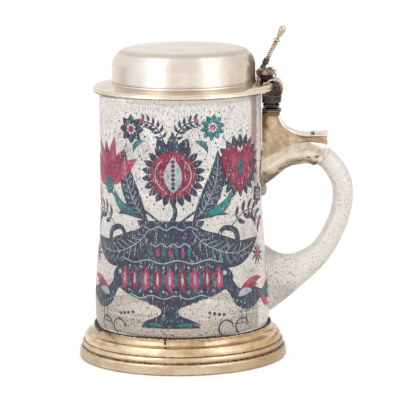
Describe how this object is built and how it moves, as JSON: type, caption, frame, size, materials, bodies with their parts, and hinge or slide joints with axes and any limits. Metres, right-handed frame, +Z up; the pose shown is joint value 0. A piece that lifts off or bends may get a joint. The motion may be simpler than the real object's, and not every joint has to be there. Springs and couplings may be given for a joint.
{
  "type": "lidded beer mug",
  "caption": "Glass beer mug with a blown glass handle, moulded metal foot, metal handle sleeve and a hinged domed lid with a twisted thumb lift.",
  "frame": {"origin": "centre of the ground glass base in the plane the mug stands on, on the glass body's axis", "axes": "+Z up along the body's axis, +X towards the handle and hinge, +Y to the drinker's far side"},
  "size_m": [0.1519, 0.1144, 0.1825],
  "materials": {
    "glass": "blown glass, warm grey, flecked",
    "gilt_silver": "worn gilt over silver, soft polish",
    "plaster": "matte plaster",
    "oxidised": "dark oxidised silver with rubbed edges",
    "silver": "warm silver, polished"
  },
  "bodies": {
    "mug": {"glass_vessel": "glass", "foot_ring": "gilt_silver", "foot_plaster": "plaster", "handle_sleeve": "gilt_silver", "saddle_web": "gilt_silver", "saddle_strap": "gilt_silver", "strap_pad": "gilt_silver", "hinge_column": "oxidised", "rope_collar": "oxidised", "hinge_pin": "oxidised"},
    "lid": {"lid_dome": "silver", "lid_flange": "silver", "lid_collar": "silver", "lid_tongue": "oxidised", "thumb_bracket": "oxidised", "thumb_scroll": "gilt_silver", "thumb_stem": "gilt_silver", "thumb_finial": "gilt_silver"}
  },
  "joints": [
    {"name": "lid_hinge", "type": "hinge", "parent": "mug", "child": "lid", "pos_m": [0.0512, 0, 0.1483], "axis": [0, 1, 0], "range_deg": [0, 100]}
  ]
}
